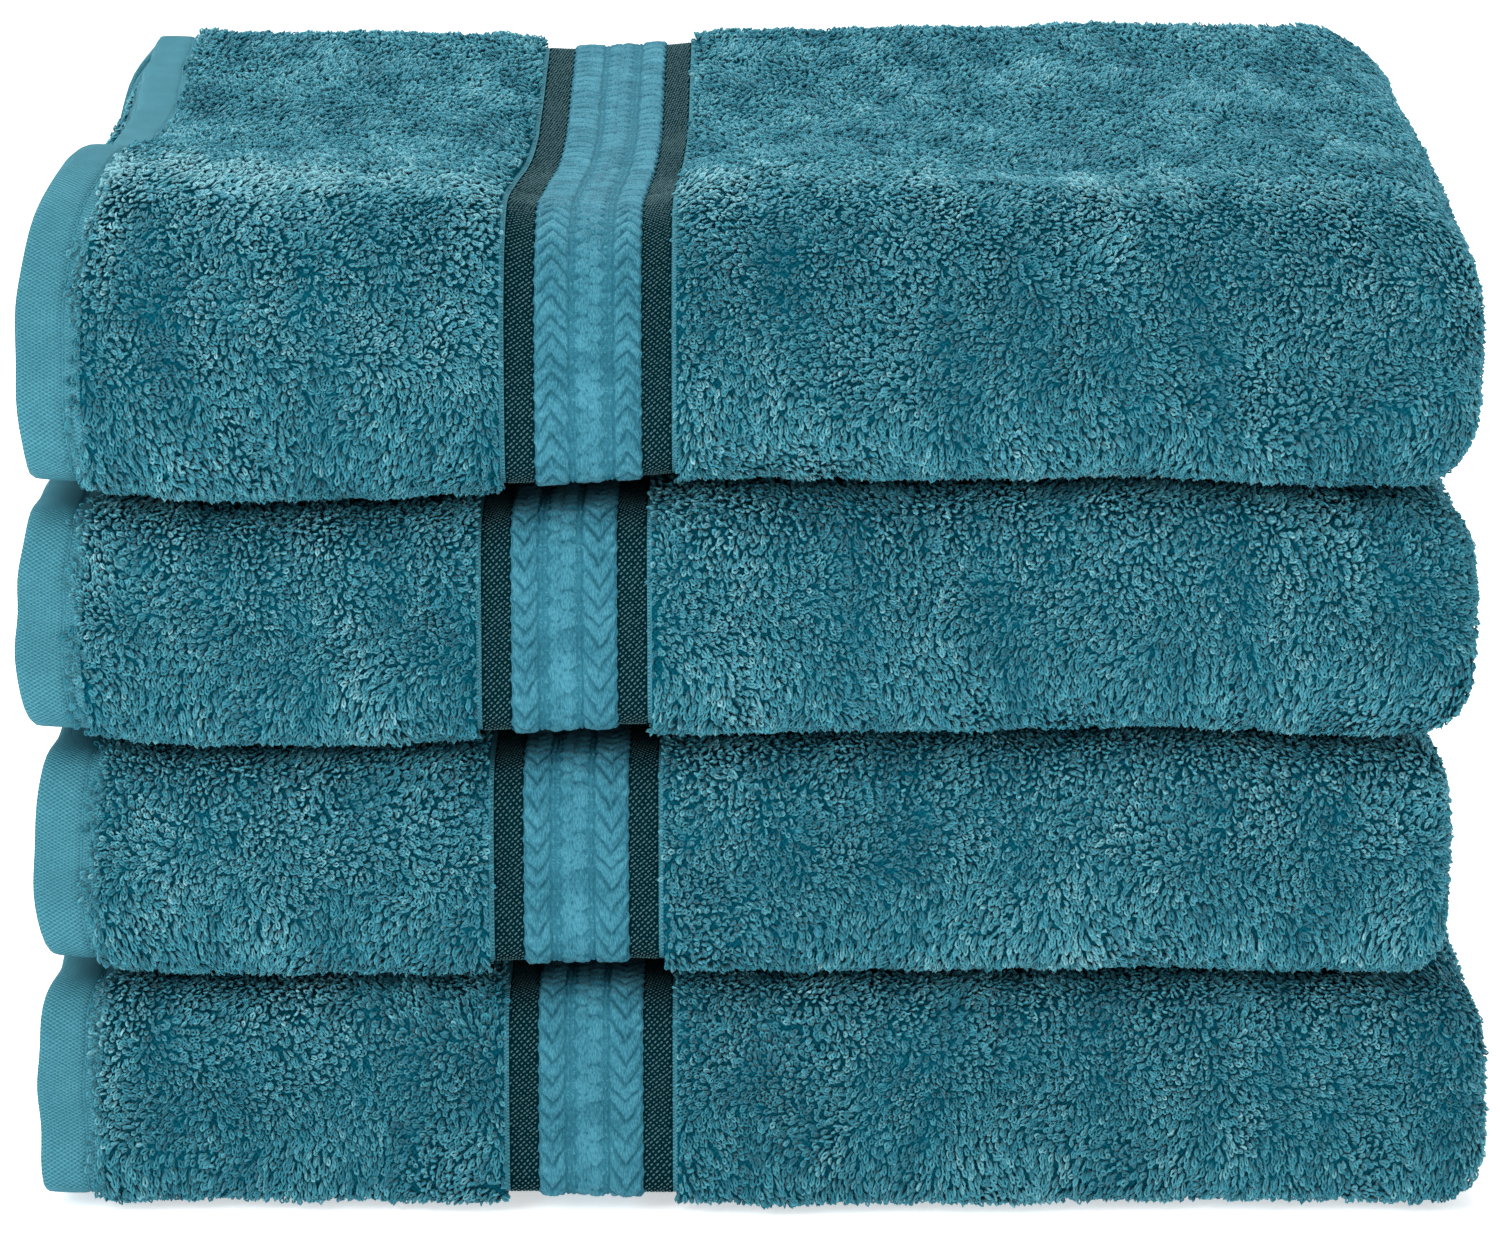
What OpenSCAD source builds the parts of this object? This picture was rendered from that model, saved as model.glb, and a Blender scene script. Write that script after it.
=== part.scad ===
// Bath towel set: four terry bath towels, folded alike and stacked.
//
// Each towel is one woven cloth. It is folded in half twice along its length, which
// makes a pack of four plies, and the pack is then folded in thirds across its width.
// The panels are the top, the middle, tucked between the other two, and the bottom.
// The front wrap joins top to bottom, and the back wrap joins top to middle.
//
// +X runs along the cloth, from its hemmed end to its fold, +Y runs from the front
// wrap to the back and +Z is up. The origin is the centre of the stack's base.

/* [Folded towels, from the lowest to the highest] */
// Width of each folded towel, from the hemmed end to the fold
towel_widths = [347, 336.5, 344.5, 343]; // [320:0.5:360]
// Thickness of one ply of each towel, of which twelve lie in its height
ply_thickness = [4.8, 4.7, 5, 6.3]; // [4:0.1:7]
// Place of each towel's middle along X
towel_shift_x = [1.1, -3.6, -2.4, -1.8]; // [-12:0.1:12]
// Place of each towel's middle along Y
towel_shift_y = [-1, 1, 0, -0.5]; // [-12:0.1:12]
// Distance from each towel's hemmed end to its border
border_starts = [112.8, 109, 109.3, 113.9]; // [60:0.5:160]
// Depth of a folded towel, a third of the cloth's width
folded_depth = 254; // [220:1:300]
// Air left between one towel and the next
stack_gap = 0.3; // [0.2:0.1:2]

/* [Cloth] */
// Width of the turned and stitched hem at each end of the cloth
hem_width = 13.4; // [8:0.1:25]
// Distance from the end of the cloth to the hem's line of stitches
stitch_inset = 11; // [6:0.1:24]
// Width of the thread in the hem's stitches
thread_width = 0.8; // [0.5:0.1:1.5]
// Height that a stitch stands over the hem
thread_height = 0.5; // [0.3:0.1:1]
// Width of each dark stripe of the border
stripe_width = 7.2; // [4:0.1:15]
// Width of the braided band between the stripes
braid_width = 25; // [10:0.5:50]
// Height that the terry loops stand over the flat weave
pile_height = 2.4; // [1:0.1:3]
// Air left between one folded panel and the next
panel_gap = 0.6; // [0.4:0.1:2]

/* [Hidden] */
PLIES = 4;
// How far the bottom panel's free edge stops short of the back wrap
free_edge_step = 4;
NODES = [for (n = [1 : 4], part = [
    "end_hem", "hem_stitching", "end_terry", "outer_stripe", "braid", "inner_stripe",
    "outer_terry", "inner_terry", "far_end",
]) str("towel_", n, "_", part)];
node = "all";
$fn = 64;

TERRY = [0.17, 0.49, 0.55];
HEM = [0.27, 0.58, 0.64];
STRIPE = [0.10, 0.20, 0.20];
BRAID = [0.25, 0.56, 0.62];
THREAD = [0.20, 0.50, 0.56];

// Thickness of a single ply, of the four in one panel and of the whole folded towel
function ply(n) = ply_thickness[n - 1];
function panel(n) = PLIES * ply(n);
function height(n) = 3 * panel(n) + 2 * panel_gap;
function left(n) = -towel_widths[n - 1] / 2;
function base(n) = n == 1 ? 0 : base(n - 1) + height(n - 1) + stack_gap;

// Axes and outer radii of the two wraps
function front_y(n) = -folded_depth / 2 + height(n) / 2;
function back_y(n) = folded_depth / 2 - back_r(n);
function back_r(n) = panel(n) + panel_gap / 2;
function back_z(n) = height(n) - back_r(n);

// Places across the cloth, as distances from its hemmed end
function border(n) = border_starts[n - 1];
function braid_start(n) = border(n) + stripe_width;
function braid_end(n) = braid_start(n) + braid_width;
function border_end(n) = braid_end(n) + stripe_width;
// The folds at the right start their turn here.
function turn(n) = towel_widths[n - 1] - panel(n) / 2;
// The fold at the left, between the two hidden plies, starts its turn here.
function left_turn(n) = ply(n) + 2;

// Half a ring. Its side is 1 for the half towards +X, and -1 for the other.
module half_ring(outer, inner, side) {
    intersection() {
        difference() {
            circle(outer);
            if (inner > 0)
                circle(inner);
        }
        translate([side > 0 ? 0 : -outer - 1, -outer - 1])
            square([outer + 1, 2 * outer + 2]);
    }
}

// Section of the folded pack from depth a to depth b below its outer face, with the
// towel's Y across the page and Z up it.
module fold_section(n, a, b) {
    run = back_y(n) - front_y(n);
    // top panel, front wrap and bottom panel
    translate([front_y(n), height(n) - b])
        square([run, b - a]);
    translate([front_y(n), height(n) / 2])
        half_ring(height(n) / 2 - a, height(n) / 2 - b, -1);
    translate([front_y(n), a])
        square([folded_depth / 2 - free_edge_step - front_y(n), b - a]);
    // back wrap and middle panel
    translate([back_y(n), back_z(n)])
        half_ring(back_r(n) - a, back_r(n) - b, 1);
    translate([front_y(n), panel(n) + panel_gap + a])
        square([run, b - a]);
}

// A length of the folded cloth, from x0 to x1 along it, between two depths of the pack
module strip(n, x0, x1, a, b) {
    translate([x0, 0, 0])
        rotate([90, 0, 90])
            linear_extrude(x1 - x0)
                fold_section(n, a, b);
}

// A ply's turn at the end of a towel. It joins two depths of the pack, follows all three
// panels and both wraps, and bulges to the side given.
module turned_end(n, x, depth, outer, inner, side) {
    translate([x, 0, 0]) {
        panel_turn(n, front_y(n), back_y(n), height(n) - depth, outer, inner, side);
        panel_turn(n, front_y(n), back_y(n), panel(n) + panel_gap + depth, outer, inner, side);
        panel_turn(n, front_y(n), folded_depth / 2 - free_edge_step, depth, outer, inner, side);
        wrap_turn(front_y(n), height(n) / 2, height(n) / 2 - depth, 180, outer, inner, side);
        wrap_turn(back_y(n), back_z(n), back_r(n) - depth, 0, outer, inner, side);
    }
}

module panel_turn(n, y0, y1, z, outer, inner, side) {
    translate([0, y1, z])
        rotate([90, 0, 0])
            linear_extrude(y1 - y0)
                half_ring(outer, inner, side);
}

// The same turn carried round a wrap of the given radius
module wrap_turn(y, z, radius, start, outer, inner, side) {
    translate([0, y, z])
        rotate([0, 90, 0])
            rotate_extrude(angle = 180, start = start)
                translate([radius, 0])
                    rotate([0, 0, 90])
                        half_ring(outer, inner, side);
}

// Puts a towel's part where the towel lies in the stack, measured from its hemmed end.
module laid(n) {
    translate([left(n) + towel_shift_x[n - 1], towel_shift_y[n - 1], base(n)])
        children();
}

// The hem at the visible end, of flat weave
module end_hem(n) {
    color(HEM) laid(n)
        strip(n, 0, hem_width, pile_height, ply(n));
}

// The line of thread that holds the hem down
module hem_stitching(n) {
    color(THREAD) laid(n)
        strip(n, stitch_inset, stitch_inset + thread_width,
            pile_height - thread_height, pile_height);
}

// The terry between the hem and the border
module end_terry(n) {
    color(TERRY) laid(n)
        strip(n, hem_width, border(n), 0, ply(n));
}

// The border's dark stripe on the hem's side
module outer_stripe(n) {
    color(STRIPE) laid(n)
        strip(n, border(n), braid_start(n), pile_height, ply(n));
}

// The border's braided band
module braid(n) {
    color(BRAID) laid(n)
        strip(n, braid_start(n), braid_end(n), pile_height, ply(n));
}

// The border's dark stripe on the fold's side
module inner_stripe(n) {
    color(STRIPE) laid(n)
        strip(n, braid_end(n), border_end(n), pile_height, ply(n));
}

// The terry from the border to the fold at the right, and back again as the innermost ply
module outer_terry(n) {
    color(TERRY) laid(n) {
        strip(n, border_end(n), turn(n), 0, ply(n));
        turned_end(n, turn(n), panel(n) / 2, panel(n) / 2, panel(n) / 4, 1);
        strip(n, left_turn(n), turn(n), 3 * ply(n), panel(n));
    }
}

// The two hidden plies: out of the fold at the left, along to the right and back
module inner_terry(n) {
    color(TERRY) laid(n) {
        strip(n, left_turn(n), turn(n), 2 * ply(n), 3 * ply(n));
        turned_end(n, turn(n), panel(n) / 2, ply(n), 0, 1);
        strip(n, border_end(n), turn(n), ply(n), 2 * ply(n));
    }
}

// The cloth's far end, with its own border and hem, under the visible one
module far_end(n) {
    color(HEM) laid(n)
        strip(n, 1, border_end(n), ply(n), 2 * ply(n));
}

function named(n, part) = node == "all" || node == str("towel_", n, "_", part);

for (n = [1 : 4]) {
    if (named(n, "end_hem")) end_hem(n);
    if (named(n, "hem_stitching")) hem_stitching(n);
    if (named(n, "end_terry")) end_terry(n);
    if (named(n, "outer_stripe")) outer_stripe(n);
    if (named(n, "braid")) braid(n);
    if (named(n, "inner_stripe")) inner_stripe(n);
    if (named(n, "outer_terry")) outer_terry(n);
    if (named(n, "inner_terry")) inner_terry(n);
    if (named(n, "far_end")) far_end(n);
}
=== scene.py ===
"""Four folded terry bath towels in a stack.

Each towel is one cloth: a closed, folded sheet with its terry loops, border and stitches
built on it as geometry. Everything is laid out on the folded cloth in two distances,
along the cloth (q) and across it (s), and in a depth below the pack's outer face (w).
"""
import math

import bpy
import numpy as np
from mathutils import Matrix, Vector


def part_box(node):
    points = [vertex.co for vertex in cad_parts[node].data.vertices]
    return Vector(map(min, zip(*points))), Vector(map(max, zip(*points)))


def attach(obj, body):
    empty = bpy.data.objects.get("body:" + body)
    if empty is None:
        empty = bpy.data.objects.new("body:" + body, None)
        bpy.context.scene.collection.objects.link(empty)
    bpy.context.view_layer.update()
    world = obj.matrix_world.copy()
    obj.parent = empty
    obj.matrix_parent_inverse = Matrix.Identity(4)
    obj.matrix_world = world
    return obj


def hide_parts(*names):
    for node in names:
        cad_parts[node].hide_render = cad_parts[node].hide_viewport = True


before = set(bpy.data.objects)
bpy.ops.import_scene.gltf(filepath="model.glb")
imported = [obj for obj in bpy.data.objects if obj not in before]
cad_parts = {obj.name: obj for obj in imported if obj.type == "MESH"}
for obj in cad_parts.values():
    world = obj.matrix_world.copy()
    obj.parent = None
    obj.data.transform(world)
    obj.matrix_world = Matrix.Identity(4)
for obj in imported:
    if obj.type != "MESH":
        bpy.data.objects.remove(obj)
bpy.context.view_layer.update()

MM = 0.001
SEED = 20

# How a towel is folded, as in the CAD model
PANEL_GAP = 0.6 * MM  # air between the folded panels
FREE_EDGE_STEP = 4.0 * MM  # how far the bottom panel stops short of the back
SNUG = 0.3 * MM  # air between the plies of a panel, on either side of their boundary

# Depths below the tips of the loops
HEM_DEPTH = 2.9 * MM  # of the hem, where the cloth is double
FLAT_DEPTH = 3.7 * MM  # of the border's flat weave
GROUND_DEPTH = 2.4 * MM  # of the ground that the loops stand on
STITCH_INSET = 2.2 * MM  # of the hem's stitches from its inner edge

# How a soft pack differs from a plainly folded one
END_START = 0.4  # where an end begins to change, as a share of half the width
LEFT_PROUD, RIGHT_PROUD = 0.8 * MM, 2.0 * MM  # how far the ends bulge at mid height
HEM_WAVER = 0.7 * MM  # how far the hemmed end wavers along the depth of the stack
FRONT_FOLDS = 1.2 * MM  # depth of the soft folds over the front wrap
FREE_EDGE_REACH = 0.82  # of the hollow in the front wrap, filled by the middle panel's edge


# ---------------------------------------------------------------- the folded towel


def smooth(v):
    """0 below 0, 1 above 1 and a smooth rise between."""
    v = np.clip(v, 0.0, 1.0)
    return v * v * (3 - 2 * v)


def waves(seed, a, b, wavelength):
    """Smooth noise from about -1 to 1 over two coordinates in metres."""
    rng = np.random.default_rng(seed)
    total = np.zeros(np.broadcast(a, b).shape)
    weight = 0.0
    for octave in range(7):
        angle = rng.uniform(0, 2 * math.pi)
        k = 2 * math.pi / wavelength * (0.6 + 0.22 * octave)
        phase = rng.uniform(0, 2 * math.pi)
        gain = 1 / (1 + 0.35 * octave)
        total = total + gain * np.sin(
            k * (math.cos(angle) * a + math.sin(angle) * b) + phase
        )
        weight += gain * gain
    return total / math.sqrt(weight)


class Towel:
    """One folded towel's sizes, read from its CAD nodes, and its soft shape."""

    def __init__(self, number, soft):
        self.number = number
        self.body = f"towel_{number}"
        self.soft = soft
        self.on_top = number == len(SOFT)
        low, high = (np.array(c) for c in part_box(f"{self.body}_outer_terry"))
        hem_low, hem_high = (np.array(c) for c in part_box(f"{self.body}_end_hem"))
        self.left, self.right = hem_low[0], high[0]
        self.width = self.right - self.left
        self.middle = (self.left + self.right) / 2
        self.base, self.height = low[2], high[2] - low[2]
        self.front, self.back = low[1], high[1]
        # distances along the cloth from its hemmed end
        self.hem = hem_high[0] - self.left
        self.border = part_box(f"{self.body}_outer_stripe")[0][0] - self.left
        self.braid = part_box(f"{self.body}_braid")[0][0] - self.left
        self.braid_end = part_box(f"{self.body}_braid")[1][0] - self.left
        self.border_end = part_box(f"{self.body}_inner_stripe")[1][0] - self.left
        # the folds
        self.panel = (self.height - 2 * PANEL_GAP) / 3
        self.ply = self.panel / 4
        self.turn = self.width - self.panel / 2
        self.left_turn = self.ply + 2 * MM
        self.front_r, self.back_r = self.height / 2, self.panel + PANEL_GAP / 2
        self.front_y = self.front + self.front_r
        self.back_y = self.back - self.back_r
        self.run = self.back_y - self.front_y
        # where each stretch across the cloth begins, the middle panel's from level with
        # the middle of the front wrap, into which its free edge reaches
        self.hollow = self.front_r - self.panel
        self.s_start = -FREE_EDGE_REACH * self.hollow
        self.s_back = self.run
        self.s_top = self.s_back + math.pi * self.back_r
        self.s_front = self.s_top + self.run
        self.s_bottom = self.s_front + math.pi * self.front_r
        self.s_end = self.s_bottom + self.back - FREE_EDGE_STEP - self.front_y

    def across(self, s, w):
        """Y, Z, outward normal (Y, Z) and direction of s (Y, Z) of a point on the pack."""
        s, w = np.broadcast_arrays(np.asarray(s, float), np.asarray(w, float))
        a_back = (s - self.s_back) / self.back_r - math.pi / 2
        a_front = (s - self.s_front) / self.front_r + math.pi / 2
        back_z = self.base + self.height - self.back_r
        front_z = self.base + self.height / 2
        middle_z = self.base + self.panel + PANEL_GAP
        round_off = np.sqrt(np.clip(1 - (np.minimum(s, 0) / self.hollow) ** 2, 0, 1))
        where = [s < self.s_back, s < self.s_top, s < self.s_front, s < self.s_bottom]
        one, nil = np.ones_like(s), np.zeros_like(s)
        y = np.select(
            where,
            [
                self.front_y + s,
                self.back_y + (self.back_r - w) * np.cos(a_back),
                self.back_y - (s - self.s_top),
                self.front_y + (self.front_r - w) * np.cos(a_front),
            ],
            self.front_y + (s - self.s_bottom),
        )
        z = np.select(
            where,
            [
                middle_z + self.panel / 2 + (w - self.panel / 2) * round_off,
                back_z + (self.back_r - w) * np.sin(a_back),
                self.base + self.height - w,
                front_z + (self.front_r - w) * np.sin(a_front),
            ],
            self.base + w,
        )
        ny = np.select(where, [nil, np.cos(a_back), nil, np.cos(a_front)], nil)
        nz = np.select(where, [-one, np.sin(a_back), one, np.sin(a_front)], -one)
        ty = np.select(where, [one, -np.sin(a_back), -one, -np.sin(a_front)], one)
        tz = np.select(where, [nil, np.cos(a_back), nil, np.cos(a_front)], nil)
        return y, z, ny, nz, ty, tz

    def along(self, q, depth=GROUND_DEPTH):
        """X, depth and the normal's share along X and outward, of a point q along the
        outer face: straight to the fold at the right, then round it."""
        radius = self.panel / 2 - depth
        a = np.clip((q - self.turn) / radius, 0.0, math.pi)
        radius = radius + (depth - SNUG) * a / math.pi
        x = self.left + np.minimum(q, self.turn) + radius * np.sin(a)
        w = self.panel / 2 - radius * np.cos(a)
        return x, w, np.sin(a), np.cos(a)

    def along_left_fold(self, q):
        """The same round the fold at the left, from the panel's middle outwards."""
        radius = self.ply - SNUG
        a = q / radius
        x = self.left + self.left_turn - radius * np.sin(a)
        return x, 3 * self.ply + radius * np.cos(a), -np.sin(a), -np.cos(a)

    def fill_wrap(self, y, z):
        """Makes the front wrap fuller than a half circle, above and below its middle."""
        dy = np.minimum(y - self.front_y, 0.0)
        dz = z - (self.base + self.height / 2)
        r = np.hypot(dy, dz) + 1e-9
        e = np.where(dz > 0, *self.soft["fullness"])
        full = (np.abs(dy / r) ** e + np.abs(dz / r) ** e + 1e-12) ** (-1 / e)
        wrapped = dy < 0
        y = np.where(wrapped, self.front_y + dy * full, y)
        z = np.where(wrapped, self.base + self.height / 2 + dz * full, z)
        return y, z

    def draw_in_ends(self, x, y, z, level):
        """Lets the ends bulge at mid height and draws them in towards the folds above and
        below. The top towel's upper face is also drawn sideways behind its front roll, and
        in at its ends."""
        side = (x - self.middle) / (self.width / 2)
        upper, lower = np.clip(2 * level - 1, 0, 1.2), np.clip(1 - 2 * level, 0, 1.2)
        near_left = np.clip((-side - END_START) / (1 - END_START), 0, 1) ** 1.5
        near_right = np.clip((side - END_START) / (1 - END_START), 0, 1) ** 1.5
        left, right = self.soft["left"], self.soft["right"]
        # the top towel's left end slopes in more evenly towards the back
        steepness = 3.3 - 1.9 * self.on_top * smooth((y + 0.07) / 0.1)
        left_in = left[0] * upper**steepness + left[1] * lower**3 - LEFT_PROUD
        right_in = right[0] * upper**right[2] + right[1] * lower**3 - RIGHT_PROUD
        x = x + near_left * left_in
        x = x - near_right * right_in
        x = x + near_left * HEM_WAVER * waves(40 + self.number, y, z * 1.6, 0.05)
        if self.on_top:
            amount, waist, corner, place = self.soft["drawn"]
            upper_face = smooth((level - 0.75) / 0.2)
            share = smooth((y + 0.1) / 0.11) * upper_face
            reach = np.where(x < place, 0.11, 0.065)
            x = x + amount * share * np.exp(-(((x - place) / reach) ** 2))
            x = x + waist * near_left * upper_face * np.exp(-(((y + 0.01) / 0.06) ** 2))
            x = x - corner * near_right * smooth(y / 0.09) * upper_face
        return x

    def relax(self, p):
        """Moves points of the plainly folded towel to where the soft one has them."""
        x, y, z = p[..., 0], p[..., 1], p[..., 2]
        level = (z - self.base) / self.height
        y, z = self.fill_wrap(y, z)
        x = self.draw_in_ends(x, y, z, level)
        # the faces sag and swell, and each towel fits the one below
        z = z + level * self.soft["top"](x, y) + (1 - level) * self.soft["bottom"](x, y)
        front = smooth((self.front_y - y) / (0.8 * self.front_r))
        folds = waves(60 + self.number, x, z, 0.11) + 0.5 * waves(65 + self.number, x, z, 0.04)
        y = y + front * FRONT_FOLDS * folds
        return np.stack([x, y, np.maximum(z, 0.1 * MM)], -1)

    def place(self, q, s, w):
        """Points on the pack, at a straight distance q along it and a depth w."""
        y, z = self.across(s, w)[:2]
        return self.relax(np.stack(np.broadcast_arrays(self.left + q, y, z), -1))


# The boundaries between the towels, seen from the front, as heights in millimetres over
# the plainly folded ones at these places across the stack
SEAM_X = (-165, -148, -120, -90, -60, -4, 50, 95, 137, 160)
SEAM_HEIGHTS = {
    1: (0.5, -2.0, -3.2, -2.4, -2.0, -2.6, -2.2, -1.9, -3.2, -2.4),
    2: (0.0, -2.8, -4.4, -4.2, -2.2, -1.0, -0.6, 0.8, -1.7, -0.5),
    3: (-3.0, -5.5, -6.8, -6.2, -4.2, -0.8, -1.2, 0.0, -2.6, -2.4),
}


def seam(index):
    """The height by which the boundary above towel `index` departs from a plane. It is
    fainter towards the back."""

    def field(x, y):
        line = 0.0
        for dx in (-9, 0, 9):
            line = line + np.interp(x / MM + dx, SEAM_X, SEAM_HEIGHTS[index]) / 3
        front = 0.3 + 0.7 * smooth((0.03 - y) / 0.12)
        return (line * front + 0.35 * waves(80 + index, x, y, 0.09)) * MM

    return field


def level_floor(x, y):
    """The floor under the lowest towel, which departs from a plane nowhere."""
    return 0.0 * x


# The top towel's upper face, as heights in millimetres over the plainly folded one at
# these places: high at the back fold, sunk towards the front, and with a soft roll there
CREST_X = (-160, -115, -60, 15, 90, 160)
CREST_Y = (-95, -76, -35, 10, 50, 104)
CREST = (
    (-1.0, -4.0, -7.0, -6.5, -6.5, -9.0),
    (1.5, -3.5, -6.5, -6.0, -6.0, -7.5),
    (-6.8, -6.5, -7.5, -7.0, -6.0, -4.0),
    (-4.5, -6.5, -7.5, -7.0, -4.5, -2.0),
    (-2.6, -4.0, -5.0, -4.0, -2.0, -1.0),
    (1.0, 1.2, 0.5, 1.5, 3.6, 2.5),
)
# How far the thin border sinks below its neighbours, from the front to the back
BORDER_Y, BORDER_SINK = (-90, -70, 20, 100), (4.5, 6.0, 2.5, 1.2)
BORDER_MIDDLE, BORDER_REACH = -0.0386, 0.0235


def crest_net(x, y):
    """The crest's heights, joined up by straight lines."""
    total = 0.0
    for i, place in enumerate(CREST_X):
        before = CREST_X[i - 1] if i else place - 1000
        after = CREST_X[i + 1] if i + 1 < len(CREST_X) else place + 1000
        share = np.interp(x, (before, place, after), (float(i == 0), 1, 0))
        if i + 1 == len(CREST_X):
            share = np.where(x > place, 1.0, share)
        total = total + share * np.interp(y, CREST_Y, [row[i] for row in CREST])
    return total


def crest(x, y):
    """The height by which the top towel's upper face departs from a plane."""
    total = 0.0
    for dx in (-16, 0, 16):
        for dy in (-9, 0, 9):
            total = total + crest_net(x / MM + dx, y / MM + dy) / 9
    sink = np.interp(y / MM, BORDER_Y, BORDER_SINK)
    total = total - sink * np.exp(-(((x - BORDER_MIDDLE) / BORDER_REACH) ** 6))
    return total * MM + 0.6 * MM * waves(90, x, y, 0.07)


# Each towel's own shape, from the lowest: how full its front wrap is above and below its
# middle, as powers of which 2 is round and more is squarer; how far its ends are drawn in
# above and below, the right one with the power of its slope; and for the top towel how far
# its upper face is drawn to the right, in at the left and in at the right-hand back corner,
# and the place along X where it is drawn furthest
SOFT = {
    1: dict(fullness=(4.6, 8.0), left=(6 * MM, 3 * MM), right=(7 * MM, 6 * MM, 2.4)),
    2: dict(fullness=(4.6, 5.5), left=(5 * MM, 7 * MM), right=(4 * MM, 2 * MM, 2.4)),
    3: dict(fullness=(4.6, 5.5), left=(6 * MM, 6 * MM), right=(9 * MM, 10 * MM, 2.4)),
    4: dict(fullness=(2.3, 5.2), left=(14 * MM, 6 * MM), right=(12 * MM, 10 * MM, 2.9),
            drawn=(4.5 * MM, 3.0 * MM, 4.0 * MM, -0.065)),
}
SEAMS = [level_floor, seam(1), seam(2), seam(3), crest]


def make_towels():
    """The four towels' sizes and shapes, from the lowest. Each rests on the one below."""
    towels = []
    for number, soft in SOFT.items():
        soft["bottom"], soft["top"] = SEAMS[number - 1], SEAMS[number]
        towels.append(Towel(number, soft))
    return towels


# ---------------------------------------------------------------- meshes


def new_mesh(name, points, quads, triangles=None, shades=None, uvs=None):
    """A smooth mesh object from arrays. Shades give each face's material slot."""
    triangles = np.zeros((0, 3), int) if triangles is None else triangles
    corners = np.concatenate([quads.ravel(), triangles.ravel()])
    sizes = np.concatenate([np.full(len(quads), 4), np.full(len(triangles), 3)])
    mesh = bpy.data.meshes.new(name)
    mesh.vertices.add(len(points))
    mesh.vertices.foreach_set("co", points.astype(np.float32).ravel())
    mesh.loops.add(len(corners))
    mesh.loops.foreach_set("vertex_index", corners.astype(np.int32))
    mesh.polygons.add(len(sizes))
    starts = np.concatenate([[0], np.cumsum(sizes)[:-1]])
    mesh.polygons.foreach_set("loop_start", starts.astype(np.int32))
    mesh.polygons.foreach_set("loop_total", sizes.astype(np.int32))
    mesh.polygons.foreach_set("use_smooth", np.ones(len(sizes), bool))
    if shades is not None:
        mesh.polygons.foreach_set("material_index", shades.astype(np.int32))
    if uvs is not None:
        layer = mesh.uv_layers.new(name="cloth")
        layer.data.foreach_set("uv", uvs[corners].astype(np.float32).ravel())
    mesh.update(calc_edges=True)
    mesh.validate()
    piece = bpy.data.objects.new(name, mesh)
    bpy.context.scene.collection.objects.link(piece)
    return piece


def add_piece(piece, towel, materials):
    """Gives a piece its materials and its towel's body."""
    for material in materials:
        piece.data.materials.append(material)
    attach(piece, towel.body)
    return piece


def grid_quads(rows, columns, first=0):
    """Quads of a grid whose points run along the columns first."""
    i = np.arange(rows - 1)[:, None] * columns + np.arange(columns - 1)[None, :]
    i = i.ravel() + first
    return np.stack([i, i + 1, i + 1 + columns, i + columns], 1)


def spaced(start, end, step):
    """Even places from start to end, both kept, about a step apart."""
    return np.linspace(start, end, max(2, round((end - start) / step) + 1))


# ---------------------------------------------------------------- the cloth

HEM, TERRY, STRIPE, BRAID = range(4)  # zones of the cloth, as its material slots
THIN = 0.1 * MM  # air left inside a panel, between faces of the cloth that touch
HIDDEN_STEP = 14 * MM  # from one row of the hidden plies to the next


def outer_ply(t):
    """Rows of (q, outer depth, inner depth, zone) along the visible ply. The cloth from
    one row to the next takes the first one's zone."""
    inner = t.ply - THIN
    middle = (HEM_DEPTH + inner) / 2
    stitch = t.hem - STITCH_INSET
    # the hem's rounded edge, its flat, the ridge of its stitches and the step to the terry
    rows = [
        (0.0, middle - 0.3 * MM, middle + 0.3 * MM, HEM),
        (0.25 * MM, HEM_DEPTH + 0.35 * MM, inner - 0.3 * MM, HEM),
        (0.9 * MM, HEM_DEPTH, inner, HEM),
    ]
    for q in spaced(2.2 * MM, stitch - 1.3 * MM, 1.6 * MM):
        rows.append((q, HEM_DEPTH - 0.15 * MM * math.sin(math.pi * q / stitch), inner, HEM))
    rows += [
        (stitch - 0.6 * MM, HEM_DEPTH + 0.1 * MM, inner, HEM),
        (stitch, HEM_DEPTH + 0.4 * MM, inner, HEM),
        (stitch + 0.6 * MM, HEM_DEPTH + 0.1 * MM, inner, HEM),
        (t.hem - 0.4 * MM, HEM_DEPTH + 0.05 * MM, inner, HEM),
        (t.hem, GROUND_DEPTH, inner, HEM),
    ]
    # the terry, the border's three bands and the terry up to the fold
    for q in spaced(t.hem + 1.8 * MM, t.border - 1.7 * MM, 6 * MM):
        rows.append((q, GROUND_DEPTH, inner, TERRY))
    rows.append((t.border - 1.2 * MM, FLAT_DEPTH, inner, HEM))
    for q in spaced(t.border, t.braid, 2.4 * MM)[:-1]:
        rows.append((q, FLAT_DEPTH, inner, STRIPE))
    for q in spaced(t.braid, t.braid_end, 3 * MM)[:-1]:
        rows.append((q, FLAT_DEPTH, inner, BRAID))
    for q in spaced(t.braid_end, t.border_end, 2.4 * MM)[:-1]:
        rows.append((q, FLAT_DEPTH, inner, STRIPE))
    rows.append((t.border_end, FLAT_DEPTH, inner, HEM))
    rows.append((t.border_end + 1.1 * MM, FLAT_DEPTH, inner, TERRY))
    for q in spaced(t.border_end + 1.6 * MM, t.turn, 6 * MM):
        rows.append((q, GROUND_DEPTH, inner, TERRY))
    return rows


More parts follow.
